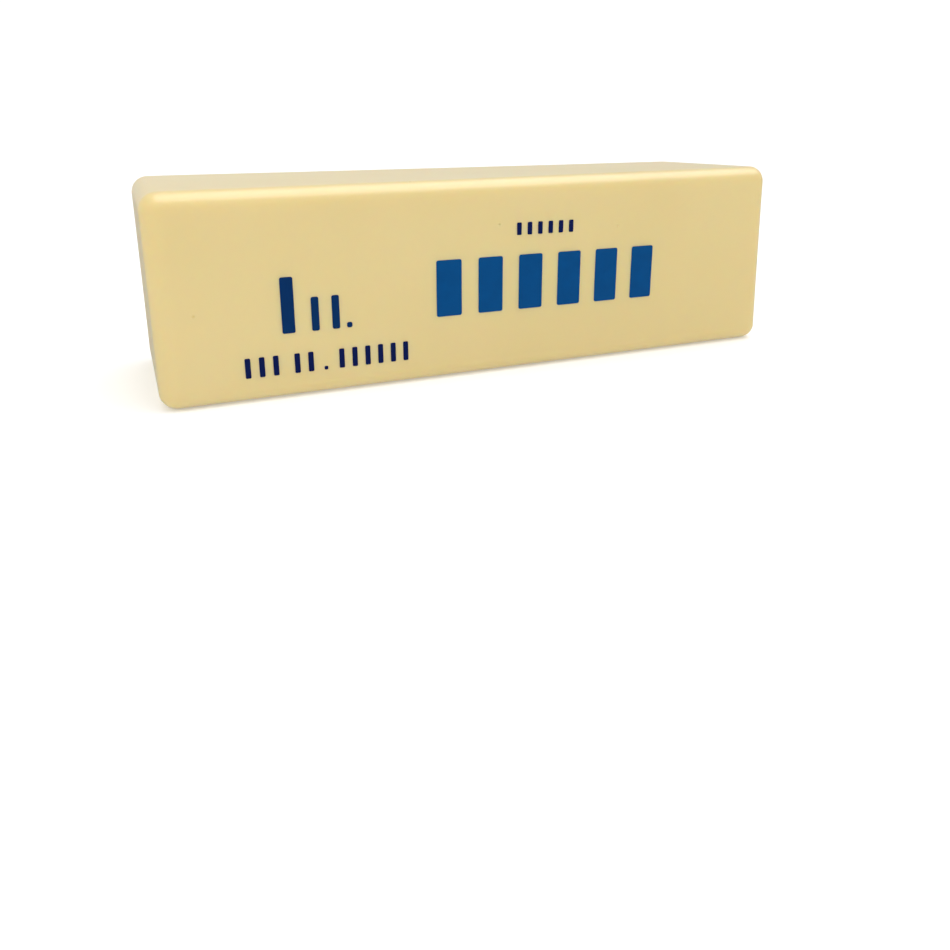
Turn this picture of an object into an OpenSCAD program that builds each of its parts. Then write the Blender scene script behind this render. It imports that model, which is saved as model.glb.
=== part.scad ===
// Life-size moulded copy of a stick of butter: one rounded oblong block.
// X runs along the block, the front faces -Y, and the block stands on Z = 0.

/* [Block] */
// Length of the block, end to end, in mm
block_l = 112; // [80:1:140]
// Depth of the block, front to back, in mm
block_d = 33; // [24:1:45]
// Height of the block, in mm
block_h = 33; // [24:1:45]

/* [Rounding] */
// Radius of the rounded edges and corners, in mm
edge_r = 2.8; // [1:0.1:8]

/* [Hidden] */

block_colour = "#f3e2a4";
round_fn = 96;

// Lengths of the flat part of each side, between its two rounded edges
flat_l = block_l - 2 * edge_r;
flat_d = block_d - 2 * edge_r;
flat_h = block_h - 2 * edge_r;

SIDES = [-1, 1];

// Three crossing slabs, whose faces are the flat faces of the block
module slabs() {
    cube([block_l, flat_d, flat_h], center = true);
    cube([flat_l, block_d, flat_h], center = true);
    cube([flat_l, flat_d, block_h], center = true);
}

// One rod along Z, whose side is a rounded edge
module edge_rod(length) {
    cylinder(h = length, r = edge_r, center = true, $fn = round_fn);
}

// The four parallel edges of a box whose rods run along Z
module edge_rods(length, across_x, across_y) {
    for (side_x = SIDES, side_y = SIDES)
        translate([side_x * across_x / 2, side_y * across_y / 2, 0])
            edge_rod(length);
}

// All twelve rounded edges
module edges() {
    edge_rods(flat_h, flat_l, flat_d);
    rotate([0, 90, 0]) edge_rods(flat_l, flat_h, flat_d);
    rotate([90, 0, 0]) edge_rods(flat_d, flat_l, flat_h);
}

// All eight rounded corners
module corners() {
    for (side_x = SIDES, side_y = SIDES, side_z = SIDES)
        translate([side_x * flat_l / 2, side_y * flat_d / 2, side_z * flat_h / 2])
            sphere(r = edge_r, $fn = round_fn);
}

// The block, lifted so that its flat base lies on Z = 0
module block() {
    color(block_colour)
        translate([0, 0, block_h / 2])
            union() {
                slabs();
                edges();
                corners();
            }
}

block();
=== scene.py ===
"""A soft moulded toy block of butter with plain printed marks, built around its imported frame."""

import math

import bpy
from bpy.props import (
    FloatProperty,
    FloatVectorProperty,
    IntProperty,
    PointerProperty,
)
from mathutils import Matrix, Vector


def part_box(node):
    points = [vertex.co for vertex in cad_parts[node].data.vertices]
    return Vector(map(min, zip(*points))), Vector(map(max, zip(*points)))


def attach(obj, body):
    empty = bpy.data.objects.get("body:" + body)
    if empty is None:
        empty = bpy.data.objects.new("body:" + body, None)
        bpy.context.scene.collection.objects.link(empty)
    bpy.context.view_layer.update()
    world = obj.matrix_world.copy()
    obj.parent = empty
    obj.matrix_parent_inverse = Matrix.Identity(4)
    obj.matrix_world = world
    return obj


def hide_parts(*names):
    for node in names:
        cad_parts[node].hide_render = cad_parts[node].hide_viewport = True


bl_info = {
    "name": "Toy Butter Block",
    "version": (1, 0, 0),
    "blender": (4, 5, 0),
    "location": "3D View > Sidebar > Butter Block",
    "description": "Builds a soft moulded toy block of butter with plain printed marks",
    "category": "Object",
}

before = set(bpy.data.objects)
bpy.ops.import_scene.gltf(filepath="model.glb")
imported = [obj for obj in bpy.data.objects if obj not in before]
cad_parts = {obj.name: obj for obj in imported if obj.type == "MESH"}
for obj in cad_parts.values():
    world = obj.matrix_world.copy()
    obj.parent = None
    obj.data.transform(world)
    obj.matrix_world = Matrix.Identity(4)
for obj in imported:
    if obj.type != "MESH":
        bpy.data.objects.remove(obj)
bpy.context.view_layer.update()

MM = 0.001
BODY = "root"
NODE = "block"

BLOCK_LOW, BLOCK_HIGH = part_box(NODE)
BLOCK_SIZE = BLOCK_HIGH - BLOCK_LOW
LEFT_END = BLOCK_LOW.x
FRONT = BLOCK_LOW.y

# How far forward a ray towards the front starts, and how far it reaches
RAY_START = 50 * MM
RAY_REACH = 100 * MM

ONES = (1.0, 1.0, 1.0)
FORWARD = (0.0, -1.0, 0.0)
REARWARD = (0.0, 1.0, 0.0)


# ---------------------------------------------------------------------------
# Node trees
# ---------------------------------------------------------------------------


class Tree:
    """A node tree that is filled one node at a time."""

    def __init__(self, tree):
        self.tree = tree

    def put(self, socket, value):
        """Links value into the socket if it is an output socket, else sets it."""
        if isinstance(value, bpy.types.NodeSocket):
            self.tree.links.new(value, socket)
        else:
            socket.default_value = value

    def add(self, kind, values=None, **settings):
        """Adds a node. The values are {input name or number: value or output socket}."""
        node = self.tree.nodes.new(kind)
        for name, setting in settings.items():
            setattr(node, name, setting)
        for key, value in (values or {}).items():
            self.put(node.inputs[key], value)
        return node

    def number(self, operation, *values):
        """Maths on numbers."""
        node = self.add("ShaderNodeMath", dict(enumerate(values)), operation=operation)
        return node.outputs[0]

    def vector(self, operation, *values):
        """Maths on vectors."""
        node = self.add("ShaderNodeVectorMath", dict(enumerate(values)), operation=operation)
        return node.outputs[0]

    def scaled(self, vector, scale):
        """A vector times a number."""
        node = self.add("ShaderNodeVectorMath", {0: vector, "Scale": scale}, operation="SCALE")
        return node.outputs[0]

    def combined(self, x=0.0, y=0.0, z=0.0):
        """A vector from its three numbers."""
        return self.add("ShaderNodeCombineXYZ", {"X": x, "Y": y, "Z": z}).outputs[0]

    def separated(self, vector):
        """The three numbers of a vector."""
        return self.add("ShaderNodeSeparateXYZ", {"Vector": vector}).outputs

    def mixed(self, factor, first, second):
        """A colour between two others."""
        node = self.add("ShaderNodeMix", data_type="RGBA")
        self.put(node.inputs["Factor"], factor)
        for socket in node.inputs:
            if socket.type == "RGBA" and socket.name in "AB":
                self.put(socket, first if socket.name == "A" else second)
        return next(s for s in node.outputs if s.type == "RGBA")

    def ranged(self, value, low, high, to_low, to_high, smooth=False):
        """A number carried from one range to another, and kept inside it."""
        node = self.add(
            "ShaderNodeMapRange",
            {"Value": value, "From Min": low, "From Max": high, "To Min": to_low, "To Max": to_high},
            interpolation_type="SMOOTHSTEP" if smooth else "LINEAR",
        )
        return node.outputs["Result"]


# Bend at an edge from which it is drawn sharp, and the gap between points that is closed
SHARP_ANGLE = math.radians(35.0)
WELD_GAP = 0.002 * MM

# A face looks forward or down where its normal's share backward or upward is less than this
TURNED_AWAY = -0.5

# How strongly the lean of the right end gathers towards that end
LEAN_POWER = 3.0

# Smallest and largest pit, as shares of the pit radius
PIT_SPREAD = (0.75, 1.15)


def new_geometry_tree(name, sockets):
    """A Geometry Nodes tree with a Geometry input and output and the named inputs given."""
    group = bpy.data.node_groups.new(name, "GeometryNodeTree")
    group.is_modifier = True
    interface = group.interface
    interface.new_socket("Geometry", in_out="INPUT", socket_type="NodeSocketGeometry")
    for label, kind in sockets:
        interface.new_socket(label, in_out="INPUT", socket_type="NodeSocket" + kind)
    interface.new_socket("Geometry", in_out="OUTPUT", socket_type="NodeSocketGeometry")
    tree = Tree(group)
    return tree, tree.add("NodeGroupInput").outputs


def finish_tree(tree, geometry, material):
    """Ends a tree in Realize Instances and Set Material."""
    real = tree.add("GeometryNodeRealizeInstances", {"Geometry": geometry})
    painted = tree.add(
        "GeometryNodeSetMaterial",
        {"Geometry": real.outputs[0], "Material": material},
    )
    tree.add("NodeGroupOutput", {"Geometry": painted.outputs[0]})
    return tree.tree


def smoothed(tree, mesh, crease):
    """Smooth shading, with the edges that crease selects left sharp."""
    smooth = tree.add(
        "GeometryNodeSetShadeSmooth",
        {"Geometry": mesh, "Shade Smooth": True},
        domain="FACE",
    )
    sharp = tree.add(
        "GeometryNodeSetShadeSmooth",
        {"Geometry": smooth.outputs[0], "Selection": crease, "Shade Smooth": False},
        domain="EDGE",
    )
    return sharp.outputs[0]


def moulded_block_tree(name):
    """A block with rounded edges, whose skin is slightly uneven and has a few pits, on a flat base."""
    tree, given = new_geometry_tree(
        name,
        (
            ("Length", "Float"),
            ("Depth", "Float"),
            ("Height", "Float"),
            ("Edge Radius", "Float"),
            ("Edge Cells", "Int"),
            ("Face Cell", "Float"),
            ("Swell Depth", "Float"),
            ("Swell Length", "Float"),
            ("Hollow Depth", "Float"),
            ("End Lean", "Float"),
            ("Front Rise", "Float"),
            ("Front Twist", "Float"),
            ("Pit Radius", "Float"),
            ("Pit Lift", "Float"),
            ("Pits Per Area", "Float"),
            ("Seed", "Int"),
            ("Material", "Material"),
        ),
    )
    # A cube two across, with the cells of the flat faces and of the rounded edges along each side
    size = tree.combined(given["Length"], given["Depth"], given["Height"])
    round_cells = tree.number("MULTIPLY", given["Edge Cells"], 2.0)
    round_both = tree.number("MULTIPLY", given["Edge Radius"], 2.0)
    flat = tree.vector("SUBTRACT", size, tree.combined(round_both, round_both, round_both))
    cell = tree.combined(given["Face Cell"], given["Face Cell"], given["Face Cell"])
    flat_cells = tree.vector("CEIL", tree.vector("DIVIDE", flat, cell))
    cells = tree.vector("ADD", flat_cells, tree.combined(round_cells, round_cells, round_cells))
    counts = tree.separated(tree.vector("ADD", cells, ONES))
    cube = tree.add(
        "GeometryNodeMeshCube",
        {
            "Size": (2.0, 2.0, 2.0),
            "Vertices X": counts[0],
            "Vertices Y": counts[1],
            "Vertices Z": counts[2],
        },
    )

    # Its flat cells spread over the flat faces, and the others in equal angles round the edges and corners
    here = tree.add("GeometryNodeInputPosition").outputs[0]
    side = tree.vector("SIGN", here)
    along = tree.vector("ABSOLUTE", here)
    flat_share = tree.vector("DIVIDE", flat_cells, cells)
    on_flat = tree.vector("DIVIDE", tree.vector("MINIMUM", along, flat_share), flat_share)
    past_flat = tree.vector("MAXIMUM", tree.vector("SUBTRACT", along, flat_share), (0.0, 0.0, 0.0))
    on_round = tree.vector("DIVIDE", past_flat, tree.vector("SUBTRACT", ONES, flat_share))
    turn = tree.vector("TANGENT", tree.scaled(on_round, math.pi / 4))
    outward = tree.vector("NORMALIZE", tree.vector("MULTIPLY", turn, side))
    core = tree.vector("MULTIPLY", tree.vector("MULTIPLY", on_flat, side), tree.scaled(flat, 0.5))
    skin = tree.vector("ADD", core, tree.scaled(outward, given["Edge Radius"]))

    # The skin swells, and the middle of each face has sunk, but not on the base
    swell = tree.add(
        "ShaderNodeTexNoise",
        {
            "Vector": skin,
            "W": given["Seed"],
            "Scale": tree.number("DIVIDE", 1.0, given["Swell Length"]),
            "Detail": 1.0,
            "Roughness": 0.35,
        },
        noise_dimensions="4D",
    )
    share = tree.vector("DIVIDE", skin, tree.scaled(size, 0.5))
    share_squared = tree.vector("MULTIPLY", share, share)
    across = tree.vector("SUBTRACT", ONES, tree.vector("MULTIPLY", outward, outward))
    off_middle = tree.vector("MULTIPLY", share_squared, across)
    middle = tree.separated(tree.vector("SUBTRACT", ONES, off_middle))
    hollow = tree.number("MULTIPLY", tree.number("MULTIPLY", middle[0], middle[1]), middle[2])
    off_base = tree.number("MINIMUM", 1.0, tree.number("ADD", 1.0, tree.separated(outward)[2]))
    sunk = tree.number(
        "ADD",
        tree.number("MULTIPLY", given["Swell Depth"], swell.outputs["Fac"]),
        tree.number("MULTIPLY", given["Hollow Depth"], hollow),
    )
    inset = tree.number("MULTIPLY", sunk, off_base)
    depth = tree.number("SUBTRACT", given["Edge Radius"], inset)
    centred = tree.vector("ADD", core, tree.scaled(outward, depth))

    # The right end leans, and the upper front edge rises and climbs to the right
    toward_right, toward_back, toward_top = tree.separated(share)
    near_end = tree.number("POWER", tree.number("MAXIMUM", toward_right, 0.0), LEAN_POWER)
    lean = tree.number("MULTIPLY", tree.number("MULTIPLY", near_end, toward_top), given["End Lean"])
    front_share = tree.ranged(toward_back, -1.0, 1.0, 1.0, 0.0)
    top_share = tree.ranged(toward_top, 0.0, 1.0, 0.0, 1.0)
    twist = tree.number("MULTIPLY", given["Front Twist"], toward_right)
    uneven = tree.number("MULTIPLY", tree.number("ADD", given["Front Rise"], twist), front_share)
    rise = tree.number("MULTIPLY", uneven, top_share)
    height = tree.number("ADD", tree.number("MULTIPLY", given["Height"], 0.5), rise)
    shift = tree.combined(tree.number("MULTIPLY", lean, -1.0), 0.0, height)
    lifted = tree.vector("ADD", centred, shift)
    moulded = tree.add(
        "GeometryNodeSetPosition",
        {"Geometry": cube.outputs["Mesh"], "Position": lifted},
    )
    block = moulded.outputs[0]

    # Pits are scattered over the skin, except on the front, where they go on the points that come in
    facing = tree.separated(tree.add("GeometryNodeInputNormal").outputs[0])
    not_front = tree.number("GREATER_THAN", facing[1], TURNED_AWAY)
    not_base = tree.number("GREATER_THAN", facing[2], TURNED_AWAY)
    scattered = tree.add(
        "GeometryNodeDistributePointsOnFaces",
        {
            "Mesh": block,
            "Selection": tree.number("MULTIPLY", not_front, not_base),
            "Density": given["Pits Per Area"],
            "Seed": given["Seed"],
        },
    )
    raised = tree.add(
        "GeometryNodeSetPosition",
        {
            "Geometry": scattered.outputs["Points"],
            "Offset": tree.scaled(scattered.outputs["Normal"], given["Pit Lift"]),
        },
    )
    hit = tree.add(
        "GeometryNodeRaycast",
        {
            "Target Geometry": block,
            "Source Position": tree.vector("SUBTRACT", here, (0.0, RAY_START, 0.0)),
            "Ray Direction": REARWARD,
            "Ray Length": RAY_REACH,
        },
    )
    on_front = tree.add(
        "GeometryNodeSetPosition",
        {
            "Geometry": tree.add("GeometryNodeMeshToPoints", {"Mesh": given["Geometry"]}).outputs[0],
            "Position": hit.outputs["Hit Position"],
            "Offset": tree.scaled(FORWARD, given["Pit Lift"]),
        },
    )
    points = tree.add("GeometryNodeJoinGeometry", {"Geometry": raised.outputs[0]})
    tree.put(points.inputs[0], on_front.outputs[0])
    ball = tree.add("GeometryNodeMeshIcoSphere", {"Radius": given["Pit Radius"], "Subdivisions": 3})
    spread = tree.add("FunctionNodeRandomValue", {"Seed": given["Seed"]}, data_type="FLOAT")
    spread.inputs[2].default_value = PIT_SPREAD[0]
    spread.inputs[3].default_value = PIT_SPREAD[1]
    balls = tree.add(
        "GeometryNodeInstanceOnPoints",
        {"Points": points.outputs[0], "Instance": ball.outputs["Mesh"], "Scale": spread.outputs[1]},
    )
    ball_meshes = tree.add("GeometryNodeRealizeInstances", {"Geometry": balls.outputs[0]})
    pitted = tree.add("GeometryNodeMeshBoolean", operation="DIFFERENCE", solver="EXACT")
    tree.put(pitted.inputs["Mesh 1"], block)
    tree.put(pitted.inputs["Mesh 2"], ball_meshes.outputs[0])
    shaded = smoothed(tree, pitted.outputs["Mesh"], pitted.outputs["Intersecting Edges"])
    return finish_tree(tree, shaded, given["Material"])


def row_of_marks_tree(name):
    """A row of upright rounded marks, laid on the skin as a thin film of ink and added to what comes in."""
    tree, given = new_geometry_tree(
        name,
        (
            ("Skin", "Object"),
            ("Count", "Int"),
            ("First", "Float"),
            ("Pitch", "Float"),
            ("Width", "Float"),
            ("Height", "Float"),
            ("Foot", "Float"),
            ("Corner", "Float"),
            ("Film", "Float"),
            ("Root", "Float"),
            ("Material", "Material"),
        ),
    )
    middle = tree.number("ADD", given["Foot"], tree.number("MULTIPLY", given["Height"], 0.5))
    line = tree.add(
        "GeometryNodeMeshLine",
        {
            "Count": given["Count"],
            "Start Location": tree.combined(given["First"], -RAY_START, middle),
            "Offset": tree.combined(given["Pitch"], 0.0, 0.0),
        },
    )
    outline = tree.add(
        "GeometryNodeCurvePrimitiveQuadrilateral",
        {"Width": given["Width"], "Height": given["Height"]},
    )
    rounded = tree.add(
        "GeometryNodeFilletCurve",
        {"Curve": outline.outputs[0], "Count": 6, "Radius": given["Corner"], "Limit Radius": True},
        mode="POLY",
    )
    flat = tree.add("GeometryNodeFillCurve", {"Curve": rounded.outputs[0]}, mode="TRIANGLES")
    fine = tree.add("GeometryNodeSubdivideMesh", {"Mesh": flat.outputs[0], "Level": 2})
    upright = tree.add(
        "GeometryNodeTransform",
        {"Geometry": fine.outputs[0], "Rotation": (math.pi / 2, 0.0, 0.0)},
    )
    copies = tree.add(
        "GeometryNodeInstanceOnPoints",
        {"Points": line.outputs[0], "Instance": upright.outputs[0]},
    )
    marks = tree.add("GeometryNodeRealizeInstances", {"Geometry": copies.outputs[0]})

    # Each mark's points go back to the skin, and a closed film of ink is built on them
    skin = tree.add("GeometryNodeObjectInfo", {"Object": given["Skin"]}, transform_space="RELATIVE")
    hit = tree.add(
        "GeometryNodeRaycast",
        {
            "Target Geometry": skin.outputs["Geometry"],
            "Source Position": tree.add("GeometryNodeInputPosition").outputs[0],
            "Ray Direction": REARWARD,
            "Ray Length": RAY_REACH,
        },
    )
    rooted = tree.add(
        "GeometryNodeSetPosition",
        {
            "Geometry": marks.outputs[0],
            "Position": hit.outputs["Hit Position"],
            "Offset": tree.combined(0.0, given["Root"], 0.0),
        },
    )
    full = tree.number("ADD", given["Root"], given["Film"])
    face = tree.add(
        "GeometryNodeExtrudeMesh",
        {"Mesh": rooted.outputs[0], "Offset": FORWARD, "Offset Scale": full, "Individual": False},
    )
    back = tree.add("GeometryNodeFlipFaces", {"Mesh": rooted.outputs[0]})
    both = tree.add("GeometryNodeJoinGeometry", {"Geometry": face.outputs["Mesh"]})
    tree.put(both.inputs[0], back.outputs[0])
    closed = tree.add("GeometryNodeMergeByDistance", {"Geometry": both.outputs[0], "Distance": WELD_GAP})
    bend = tree.add("GeometryNodeInputMeshEdgeAngle").outputs["Unsigned Angle"]
    shaded = smoothed(tree, closed.outputs[0], tree.number("GREATER_THAN", bend, SHARP_ANGLE))
    joined = tree.add("GeometryNodeJoinGeometry", {"Geometry": given["Geometry"]})
    tree.put(joined.inputs[0], shaded)
    return finish_tree(tree, joined.outputs[0], given["Material"])


def tree_named(name, make):
    """The Geometry Nodes tree of that name, made once."""
    return bpy.data.node_groups.get(name) or make(name)


def grow(piece, name, make, values):
    """Adds a Geometry Nodes modifier to the piece and sets its inputs by their identifiers."""
    group = tree_named(name, make)
    modifier = piece.modifiers.new(name, "NODES")
    modifier.node_group = group
    for item in group.interface.items_tree:
        if item.item_type == "SOCKET" and item.in_out == "INPUT" and item.name in values:
            modifier[item.identifier] = values[item.name]


def settle(piece):
    """Turns what the piece's modifiers give into its plain mesh."""
    graph = bpy.context.evaluated_depsgraph_get()
    mesh = bpy.data.meshes.new_from_object(piece.evaluated_get(graph), depsgraph=graph)
    if not mesh.polygons:
        raise RuntimeError(f"{piece.name} came out empty")
    finish = next(material for material in mesh.materials if material)
    mesh.materials.clear()
    mesh.materials.append(finish)
    mesh.polygons.foreach_set("material_index", [0] * len(mesh.polygons))
    mesh.name = piece.name
    piece.modifiers.clear()
    piece.data = mesh


def new_piece(name, points=(), faces=()):
    """A new object at the origin, with these points and faces as its mesh."""
    mesh = bpy.data.meshes.new(name)
    mesh.from_pydata([tuple(point) for point in points], [], list(faces))
    piece = bpy.data.objects.new(name, mesh)
    bpy.context.scene.collection.objects.link(piece)
    return piece


# ---------------------------------------------------------------------------
# Finishes
# ---------------------------------------------------------------------------


WHITE = (1.0, 1.0, 1.0, 1.0)

# Nearly all values of a noise lie between these
NOISE_RANGE = (0.3, 0.7)

# The skin's colour clouds, its grain, the roughness it varies between, and how deep light sinks in
CLOUD_SIZE = 34 * MM
SKIN_GRAIN = 0.25 * MM
SKIN_GRAIN_HEIGHT = 0.003 * MM
SKIN_GRAIN_STRENGTH = 0.3
SKIN_ROUGHNESS = (0.31, 0.34)
SKIN_DEPTH = 3.0 * MM

# The ink's patches, its grain and roughness, and how many times lighter its colour is where it is thin
PATCH_SIZE = 2.4 * MM
INK_GRAIN = 0.3 * MM
INK_GRAIN_HEIGHT = 0.01 * MM
INK_GRAIN_STRENGTH = 0.2
INK_ROUGHNESS = (0.42, 0.52)
THIN_INK = 1.12

# Size of the floor's patches, and how much of its colour the darker ones keep
FLOOR_PATCH = 60 * MM
FLOOR_DULL = 0.995


def new_finish(name):
    """A new material with an empty tree, its shader and its Object coordinates."""
    material = bpy.data.materials.new(name)
    material.use_nodes = True
    material.node_tree.nodes.clear()
    tree = Tree(material.node_tree)
    shader = tree.add("ShaderNodeBsdfPrincipled")
    tree.add("ShaderNodeOutputMaterial", {"Surface": shader.outputs[0]})
    here = tree.add("ShaderNodeTexCoord").outputs["Object"]
    return material, tree, shader, here


def noise(tree, here, size, detail=2.0, roughness=0.5):
    """Smooth random numbers from 0 to 1, whose patches are about the size given."""
    node = tree.add(
        "ShaderNodeTexNoise",
        {"Vector": here, "Scale": 1.0 / size, "Detail": detail, "Roughness": roughness},
    )
    return node.outputs["Fac"]


def cover(tree, shader, share, colours, roughness):
    """Gives the shader a colour and a roughness between two of each, by a share from 0 to 1."""
    first, second = ((*shade, 1.0) for shade in colours)
    tree.put(shader.inputs["Base Color"], tree.mixed(share, first, second))
    tree.put(shader.inputs["Roughness"], tree.ranged(share, 0.0, 1.0, *roughness))


def add_grain(tree, shader, grain, strength, height):
    """Makes the shader's surface rise and fall with the grain."""
    bump = tree.add("ShaderNodeBump", {"Height": grain, "Strength": strength, "Distance": height})
    tree.put(shader.inputs["Normal"], bump.outputs[0])


def set_evenly(shader, values):
    """Sets what is the same all over the surface. The values are {input name: value}."""
    for name, value in values.items():
        shader.inputs[name].default_value = value


def foam_skin_finish(name, colours):
    """Satin skin of soft foam: faint clouds of colour, a fine grain, and light that sinks in a little."""
    material, tree, shader, here = new_finish(name)
    clouds = tree.ranged(noise(tree, here, CLOUD_SIZE), *NOISE_RANGE, 0.0, 1.0, smooth=True)
    cover(tree, shader, clouds, (colours.skin, colours.skin_deep), SKIN_ROUGHNESS)
    add_grain(tree, shader, noise(tree, here, SKIN_GRAIN, 1.0), SKIN_GRAIN_STRENGTH, SKIN_GRAIN_HEIGHT)
    set_evenly(
        shader,
        {
            "IOR": 1.5,
            "Specular IOR Level": 1.0,
            "Coat Weight": 0.5,
            "Coat Roughness": 0.3,
            "Subsurface Weight": 0.6,
            "Subsurface Radius": (1.0, 0.62, 0.25),
            "Subsurface Scale": SKIN_DEPTH,
        },
    )
    return material


def ink_finish(name, ink):
    """Thin satin ink, a little uneven in depth as it comes off a printing pad."""
    material, tree, shader, here = new_finish(name)
    patches = tree.ranged(noise(tree, here, PATCH_SIZE, 3.0), *NOISE_RANGE, 0.0, 1.0)
    thin = tuple(min(1.0, part * THIN_INK) for part in ink)
    cover(tree, shader, patches, (ink, thin), INK_ROUGHNESS)
    add_grain(tree, shader, noise(tree, here, INK_GRAIN, 2.0), INK_GRAIN_STRENGTH, INK_GRAIN_HEIGHT)
    set_evenly(shader, {"Specular IOR Level": 0.06})
    return material


def floor_finish(name, shade, glow):
    """Matt pale paper, a little lit from within so that it stays as pale as the background."""
    material, tree, shader, here = new_finish(name)
    dull = tuple(part * FLOOR_DULL for part in shade)
    patches = noise(tree, here, FLOOR_PATCH)
    tree.put(shader.inputs["Base Color"], tree.mixed(patches, (*shade, 1.0), (*dull, 1.0)))
    set_evenly(
        shader,
        {
            "Roughness": 0.9,
            "Specular IOR Level": 0.1,
            "Emission Color": WHITE,
            "Emission Strength": glow,
        },
    )
    return material


def finish_named(name, make, *values):
    """The material of that name, made once."""
    return bpy.data.materials.get(name) or make(name, *values)


# ---------------------------------------------------------------------------
# Sizes and colours
# ---------------------------------------------------------------------------


def length(name, description, default):
    """A length that the user can change."""
    return FloatProperty(
        name=name,
        description=description,
        default=default,
        min=0.0,
        precision=5,
        unit="LENGTH",
    )


def angle(name, description, degrees):
    """An angle that the user can change."""
    return FloatProperty(
        name=name,
        description=description,
        default=math.radians(degrees),
        subtype="ANGLE",
    )


def amount(name, description, default, **limits):
    """A plain number that the user can change."""
    return FloatProperty(name=name, description=description, default=default, **limits)


def whole(name, description, default, lowest):
    """A whole number that the user can change."""
    return IntProperty(name=name, description=description, default=default, min=lowest)


def place(name, description, default):
    """A place that the user can change."""
    return FloatVectorProperty(
        name=name,
        description=description,
        default=default,
        size=3,
        precision=4,
        subtype="TRANSLATION",
        unit="LENGTH",
    )


def colour(name, description, default):
    """A colour that the user can change."""
    return FloatVectorProperty(
        name=name,
        description=description,
        default=default,
        min=0.0,
        max=1.0,
        size=3,
        subtype="COLOR",
    )


class ButterBodySizes(bpy.types.PropertyGroup):
    """Sizes of the moulded body."""

    length: length("Length", "Length of the block, end to end", BLOCK_SIZE.x)
    depth: length("Depth", "Depth of the block, front to back", BLOCK_SIZE.y)
    height: length("Height", "Height of the block", BLOCK_SIZE.z)
    edge_radius: length("Edge Radius", "Radius of the rounded edges", 2.8 * MM)
    face_cell: length("Face Cell", "Size of a mesh cell on the flat faces", 1.0 * MM)
    edge_cells: whole("Edge Cells", "Mesh cells in half a rounded edge", 6, lowest=1)
    swell_depth: length("Swell Depth", "How far the skin goes up and down", 0.12 * MM)
    swell_length: length("Swell Length", "Size of a swell in the skin", 36 * MM)
    hollow_depth: length("Hollow Depth", "How far the middle of each face has sunk in the mould", 0.12 * MM)
    end_lean: length("End Lean", "How far the right end leans, in at its top and out at its foot", 0.65 * MM)
    front_rise: length("Front Rise", "How much higher the top is along its front edge", 0.15 * MM)
    front_twist: length("Front Twist", "Rise of that edge at the right, and its drop at the left", 0.5 * MM)
    pit_radius: length("Pit Radius", "Radius of a bubble that left a pit in the skin", 0.26 * MM)
    pit_lift: length("Pit Lift", "How far a bubble's centre lies outside the skin", 0.12 * MM)
    pits_per_area: amount("Pits Per Area", "Pits in a square metre of skin", 450.0, min=0.0)
    seed: whole("Seed", "Seed of the swells and the pits", 7, lowest=0)


class ButterColours(bpy.types.PropertyGroup):
    """Colours of the skin and the inks."""

    skin: colour("Skin", "Colour of the foam skin", (0.797, 0.646, 0.291))
    skin_deep: colour("Deep Skin", "Colour of the skin where it is a little deeper", (0.777, 0.623, 0.271))
    blue_ink: colour("Blue Ink", "Colour of the large marks", (0.0, 0.060, 0.205))
    weight_ink: colour("Weight Ink", "Colour of the tall mark and the two beside it", (0.0, 0.024, 0.105))
    navy_ink: colour("Navy Ink", "Colour of the small marks", (0.001, 0.007, 0.068))


class MarkSizes(bpy.types.PropertyGroup):
    """What all printed marks share."""

    film: length("Film", "Thickness of the ink above the skin", 0.04 * MM)
    root: length("Root", "How far a mark reaches into the skin", 0.08 * MM)


class HeadlineSizes(bpy.types.PropertyGroup):
    """Sizes of the large blue marks."""

    count: whole("Count", "Number of marks", 6, lowest=1)
    first: length("First", "From the left end to the middle of the first mark", 46.3 * MM)
    pitch: length("Pitch", "From one mark to the next", 7.49 * MM)
    width: length("Width", "Width of a mark", 4.45 * MM)
    height: length("Height", "Height of a mark", 9.4 * MM)
    foot: length("Foot", "Height of the marks' lower edge above the base", 10.87 * MM)
    corner: length("Corner", "Radius of a mark's corners", 0.35 * MM)


class CaptionSizes(bpy.types.PropertyGroup):
    """Sizes of the small marks above the large ones."""

    count: whole("Count", "Number of marks", 6, lowest=1)
    first: length("First", "From the left end to the middle of the first mark", 59.0 * MM)
    pitch: length("Pitch", "From one mark to the next", 1.98 * MM)
    width: length("Width", "Width of a mark", 0.85 * MM)
    height: length("Height", "Height of a mark", 2.1 * MM)
    foot: length("Foot", "Height of the marks' lower edge above the base", 23.6 * MM)
    corner: length("Corner", "Radius of a mark's corners", 0.18 * MM)


class WeightSizes(bpy.types.PropertyGroup):
    """Sizes of the tall mark, the two shorter ones and the dot, at the left."""

    tall_place: length("Tall Place", "From the left end to the middle of the tall mark", 19.7 * MM)
    tall_width: length("Tall Width", "Width of the tall mark", 2.0 * MM)
    tall_height: length("Tall Height", "Height of the tall mark", 8.8 * MM)
    short_first: length("Short First", "From the left end to the first shorter mark", 23.9 * MM)
    short_pitch: length("Short Pitch", "Between the shorter marks", 3.25 * MM)
    short_width: length("Short Width", "Width of a shorter mark", 1.2 * MM)
    short_height: length("Short Height", "Height of a shorter mark", 5.4 * MM)
    dot_place: length("Dot Place", "From the left end to the dot", 29.3 * MM)
    dot: length("Dot", "Size of the dot", 0.87 * MM)
    foot: length("Foot", "Height of the marks' lower edge above the base", 10.65 * MM)
    corner: length("Corner", "Radius of a mark's corners", 0.3 * MM)


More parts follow.
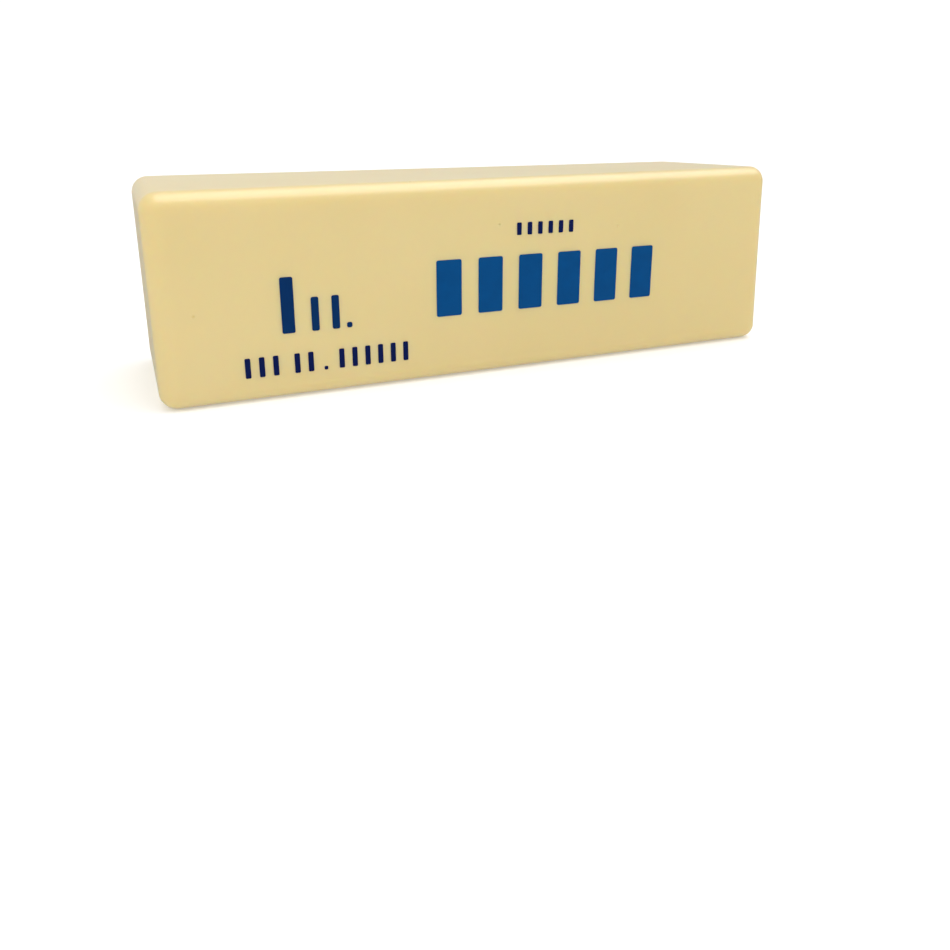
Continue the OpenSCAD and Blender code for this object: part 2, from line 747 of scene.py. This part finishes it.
class UnderlineSizes(bpy.types.PropertyGroup):
    """Sizes of the line of small marks under the tall one."""

    first: length("First", "From the left end to the first mark", 13.1 * MM)
    pitch: length("Pitch", "From one mark to the next in a group", 2.14 * MM)
    width: length("Width", "Width of a mark", 0.85 * MM)
    height: length("Height", "Height of a mark", 3.18 * MM)
    foot: length("Foot", "Height of the marks' lower edge above the base", 4.15 * MM)
    corner: length("Corner", "Radius of a mark's corners", 0.2 * MM)
    second_group: length("Second Group", "From the left end to the second group", 20.7 * MM)
    dot_place: length("Dot Place", "From the left end to the dot", 25.2 * MM)
    dot: length("Dot", "Size of the dot", 0.6 * MM)
    third_group: length("Third Group", "From the left end to the third group", 27.8 * MM)


class StageSizes(bpy.types.PropertyGroup):
    """The camera, the floor and the light."""

    camera_place: place("Camera Place", "Where the camera stands", (-58.7 * MM, -141.2 * MM, 43.4 * MM))
    camera_turn: angle("Camera Turn", "How far the camera is turned to the right of straight ahead", 23.24)
    camera_dip: angle("Camera Dip", "How far the camera looks down", 16.6)
    camera_rise: amount("Camera Rise", "Lens shift upward, as a share of the picture's width", -0.1224)
    lens: amount("Lens", "Focal length in mm, on a 36 mm wide sensor", 31.37, min=10.0)
    floor_half: length("Floor Half", "Half the width of the floor", 20.0)
    floor_colour: colour("Floor Colour", "Colour of the pale floor", (0.85, 0.85, 0.85))
    floor_glow: amount("Floor Glow", "Light that the floor gives off", 0.25)
    backdrop: amount("Backdrop", "Brightness of the empty background", 1.05)
    ground_light: amount("Ground Light", "Light in the gloss from below", 0.45)
    horizon_light: amount("Horizon Light", "Light from near the horizon, in front of the block", 0.31)
    rear_light: amount("Rear Light", "How many times brighter the horizon is behind the block", 2.3)
    zenith_light: amount("Zenith Light", "Light from overhead", 0.58)
    key_light: amount("Key Light", "Strength of the large soft lamp overhead", 1.58)
    key_size: angle("Key Size", "How wide the lamp overhead looks", 62.0)
    key_back: angle("Key Back", "Tilt of the lamp overhead to the rear", 4.0)
    key_right: angle("Key Right", "Tilt of the lamp overhead to the right", 18.0)
    side_size: length("Side Size", "Diameter of the two soft side lamps", 160 * MM)
    left_light: amount("Left Light", "Power of the soft lamp at the left, in watts", 0.1)
    left_place: place("Left Place", "Where that lamp stands", (-150 * MM, -90 * MM, 150 * MM))
    right_light: amount("Right Light", "Power of the soft lamp at the right, in watts", 0.055)
    right_place: place("Right Place", "Where that lamp stands", (170 * MM, -120 * MM, 40 * MM))


GROUPS = (
    ("butter_body", ButterBodySizes),
    ("butter_colours", ButterColours),
    ("butter_marks", MarkSizes),
    ("butter_headline", HeadlineSizes),
    ("butter_caption", CaptionSizes),
    ("butter_weight", WeightSizes),
    ("butter_underline", UnderlineSizes),
    ("butter_stage", StageSizes),
)

# Pits on the front, as distances from the left end and from the base
FRONT_PITS = ((5.9 * MM, 14.6 * MM), (55.3 * MM, 25.6 * MM), (78.3 * MM, 24.2 * MM))


# ---------------------------------------------------------------------------
# Pieces
# ---------------------------------------------------------------------------


class BUTTER_OT_body(bpy.types.Operator):
    """Makes the moulded body, which stands for the block of the frame"""

    bl_idname = "butter.body"
    bl_label = "Moulded Body"

    def execute(self, context):
        sizes = context.scene.butter_body
        finish = finish_named("butter_foam", foam_skin_finish, context.scene.butter_colours)
        pits = [Vector((LEFT_END + along, FRONT, up)) for along, up in FRONT_PITS]
        body = new_piece("moulded_body", pits)
        values = {
            "Length": sizes.length,
            "Depth": sizes.depth,
            "Height": sizes.height,
            "Edge Radius": sizes.edge_radius,
            "Edge Cells": sizes.edge_cells,
            "Face Cell": sizes.face_cell,
            "Swell Depth": sizes.swell_depth,
            "Swell Length": sizes.swell_length,
            "Hollow Depth": sizes.hollow_depth,
            "End Lean": sizes.end_lean,
            "Front Rise": sizes.front_rise,
            "Front Twist": sizes.front_twist,
            "Pit Radius": sizes.pit_radius,
            "Pit Lift": sizes.pit_lift,
            "Pits Per Area": sizes.pits_per_area,
            "Seed": sizes.seed,
            "Material": finish,
        }
        grow(body, "Moulded Block", moulded_block_tree, values)
        settle(body)
        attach(body, BODY)
        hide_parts(NODE)
        return {"FINISHED"}


def row_of(sizes):
    """The one row of marks that a group of sizes describes."""
    keys = ("count", "first", "pitch", "width", "height", "foot", "corner")
    return {key: getattr(sizes, key) for key in keys}


def print_marks(name, ink, rows):
    """Makes one printed piece from its rows of marks, and lays it on the moulded body."""
    shared = bpy.context.scene.butter_marks
    piece = new_piece(name)
    for row in rows:
        values = {
            "Skin": bpy.data.objects["moulded_body"],
            "Count": row.get("count", 1),
            "First": LEFT_END + row["first"],
            "Pitch": row.get("pitch", 0.0),
            "Width": row["width"],
            "Height": row["height"],
            "Foot": row["foot"],
            "Corner": row["corner"],
            "Film": shared.film,
            "Root": shared.root,
            "Material": ink,
        }
        grow(piece, "Row of Marks", row_of_marks_tree, values)
    settle(piece)
    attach(piece, BODY)


class BUTTER_OT_headline(bpy.types.Operator):
    """Prints the row of large blue marks"""

    bl_idname = "butter.headline"
    bl_label = "Large Blue Marks"

    def execute(self, context):
        ink = finish_named("blue_print", ink_finish, context.scene.butter_colours.blue_ink)
        print_marks("headline_marks", ink, [row_of(context.scene.butter_headline)])
        return {"FINISHED"}


class BUTTER_OT_caption(bpy.types.Operator):
    """Prints the short row of small navy marks above the large ones"""

    bl_idname = "butter.caption"
    bl_label = "Small Marks Above"

    def execute(self, context):
        ink = finish_named("navy_print", ink_finish, context.scene.butter_colours.navy_ink)
        print_marks("caption_marks", ink, [row_of(context.scene.butter_caption)])
        return {"FINISHED"}


class BUTTER_OT_weight(bpy.types.Operator):
    """Prints the tall mark with the two shorter ones and the dot beside it"""

    bl_idname = "butter.weight"
    bl_label = "Tall and Short Marks"

    def execute(self, context):
        sizes = context.scene.butter_weight
        ink = finish_named("weight_print", ink_finish, context.scene.butter_colours.weight_ink)
        same = {"foot": sizes.foot, "corner": sizes.corner}
        tall = {"first": sizes.tall_place, "width": sizes.tall_width, "height": sizes.tall_height}
        short = {
            "count": 2,
            "first": sizes.short_first,
            "pitch": sizes.short_pitch,
            "width": sizes.short_width,
            "height": sizes.short_height,
        }
        dot = {"first": sizes.dot_place, "width": sizes.dot, "height": sizes.dot}
        print_marks("weight_marks", ink, [row | same for row in (tall, short, dot)])
        return {"FINISHED"}


class BUTTER_OT_underline(bpy.types.Operator):
    """Prints the line of small navy marks near the base"""

    bl_idname = "butter.underline"
    bl_label = "Line of Small Marks"

    def execute(self, context):
        sizes = context.scene.butter_underline
        ink = finish_named("navy_print", ink_finish, context.scene.butter_colours.navy_ink)
        same = {"foot": sizes.foot, "corner": sizes.corner}
        mark = {"pitch": sizes.pitch, "width": sizes.width, "height": sizes.height} | same
        rows = [
            {"count": 3, "first": sizes.first} | mark,
            {"count": 2, "first": sizes.second_group} | mark,
            {"first": sizes.dot_place, "width": sizes.dot, "height": sizes.dot} | same,
            {"count": 6, "first": sizes.third_group} | mark,
        ]
        print_marks("underline_marks", ink, rows)
        return {"FINISHED"}


# ---------------------------------------------------------------------------
# Stage
# ---------------------------------------------------------------------------


# Width of the camera's sensor in mm, and how near and how far it sees
SENSOR_WIDTH = 36.0
NEAR_CLIP = 10 * MM
FAR_CLIP = 100.0

# How far a direction points down where the ground's light is full, and up where the zenith's is
GROUND_HEIGHT = -0.12
ZENITH_HEIGHT = 0.9


def make_floor(sizes):
    """A very large flat floor."""
    half = sizes.floor_half
    corners = [(-half, -half, 0.0), (half, -half, 0.0), (half, half, 0.0), (-half, half, 0.0)]
    floor = new_piece("stage_floor", corners, [(0, 1, 2, 3)])
    paper = finish_named("stage_paper", floor_finish, sizes.floor_colour, sizes.floor_glow)
    floor.data.materials.append(paper)
    floor.visible_glossy = False


def make_world(sizes):
    """Soft light from all round, stronger overhead, in front of a plain pale background."""
    world = bpy.data.worlds.new("soft_studio")
    world.use_nodes = True
    world.node_tree.nodes.clear()
    tree = Tree(world.node_tree)
    direction = tree.add("ShaderNodeTexCoord").outputs["Generated"]
    _, rearward, height = tree.separated(direction)
    behind = sizes.horizon_light * sizes.rear_light
    horizon = tree.ranged(rearward, 0.0, 1.0, sizes.horizon_light, behind, smooth=True)
    sky = tree.ranged(height, 0.0, ZENITH_HEIGHT, horizon, sizes.zenith_light, smooth=True)
    level = tree.ranged(height, GROUND_HEIGHT, 0.0, sizes.ground_light, sky, smooth=True)
    light = tree.add("ShaderNodeBackground", {"Color": WHITE, "Strength": level})
    plain = tree.add("ShaderNodeBackground", {"Color": WHITE, "Strength": sizes.backdrop})
    seen = tree.add("ShaderNodeLightPath").outputs["Is Camera Ray"]
    both = tree.add("ShaderNodeMixShader", {0: seen, 1: light.outputs[0], 2: plain.outputs[0]})
    tree.add("ShaderNodeOutputWorld", {"Surface": both.outputs[0]})
    bpy.context.scene.world = world


def make_key_light(sizes):
    """One very large soft lamp high above, a little behind the block and to its right."""
    lamp = bpy.data.lights.new("overhead_light", "SUN")
    lamp.energy = sizes.key_light
    lamp.angle = sizes.key_size
    holder = bpy.data.objects.new("overhead_light", lamp)
    holder.rotation_euler = (sizes.key_back, sizes.key_right, 0.0)
    bpy.context.scene.collection.objects.link(holder)


def make_side_light(name, stand, power, size):
    """A soft round lamp near one end of the block, turned towards the block and absent from its gloss."""
    lamp = bpy.data.lights.new(name, "AREA")
    lamp.shape = "DISK"
    lamp.size = size
    lamp.energy = power
    holder = bpy.data.objects.new(name, lamp)
    aim = (BLOCK_LOW + BLOCK_HIGH) / 2 - Vector(stand)
    turn = aim.to_track_quat("-Z", "Y").to_matrix().to_4x4()
    holder.matrix_world = Matrix.Translation(stand) @ turn
    holder.visible_glossy = False
    bpy.context.scene.collection.objects.link(holder)


def make_camera(sizes):
    """The camera, which stands level, with its lens shifted to place the block in the picture."""
    camera = bpy.data.cameras.new("camera")
    camera.sensor_width = SENSOR_WIDTH
    camera.lens = sizes.lens
    camera.shift_y = sizes.camera_rise
    camera.clip_start = NEAR_CLIP
    camera.clip_end = FAR_CLIP
    holder = bpy.data.objects.new("camera", camera)
    turn = Matrix.Rotation(-sizes.camera_turn, 4, "Z")
    dip = Matrix.Rotation(math.pi / 2 - sizes.camera_dip, 4, "X")
    holder.matrix_world = Matrix.Translation(sizes.camera_place) @ turn @ dip
    bpy.context.scene.collection.objects.link(holder)
    bpy.context.scene.camera = holder


class BUTTER_OT_stage(bpy.types.Operator):
    """Sets up the pale floor, the soft light and the camera"""

    bl_idname = "butter.stage"
    bl_label = "Floor, Light and Camera"

    def execute(self, context):
        sizes = context.scene.butter_stage
        make_floor(sizes)
        make_world(sizes)
        make_key_light(sizes)
        make_side_light("left_light", sizes.left_place, sizes.left_light, sizes.side_size)
        make_side_light("right_light", sizes.right_place, sizes.right_light, sizes.side_size)
        make_camera(sizes)
        context.scene.view_settings.view_transform = "Standard"
        return {"FINISHED"}


class BUTTER_PT_sidebar(bpy.types.Panel):
    """Lists the sizes, the colours and the pieces"""

    bl_idname = "BUTTER_PT_sidebar"
    bl_label = "Butter Block"
    bl_space_type = "VIEW_3D"
    bl_region_type = "UI"
    bl_category = "Butter Block"

    def draw(self, context):
        layout = self.layout
        for name, _ in GROUPS:
            sizes = getattr(context.scene, name)
            box = layout.box()
            box.label(text=sizes.bl_rna.description or name)
            for key in sizes.bl_rna.properties.keys():
                if key not in ("rna_type", "name"):
                    box.prop(sizes, key)
        for operator in OPERATORS:
            layout.operator(operator.bl_idname)


OPERATORS = (
    BUTTER_OT_body,
    BUTTER_OT_headline,
    BUTTER_OT_caption,
    BUTTER_OT_weight,
    BUTTER_OT_underline,
    BUTTER_OT_stage,
)
CLASSES = tuple(kind for _, kind in GROUPS) + OPERATORS + (BUTTER_PT_sidebar,)


def register():
    for kind in CLASSES:
        bpy.utils.register_class(kind)
    for name, kind in GROUPS:
        setattr(bpy.types.Scene, name, PointerProperty(type=kind))


def unregister():
    for name, _ in GROUPS:
        delattr(bpy.types.Scene, name)
    for kind in reversed(CLASSES):
        bpy.utils.unregister_class(kind)


def main():
    register()
    bpy.ops.butter.body()
    bpy.ops.butter.headline()
    bpy.ops.butter.caption()
    bpy.ops.butter.weight()
    bpy.ops.butter.underline()
    bpy.ops.butter.stage()


if __name__ == "__main__":
    main()
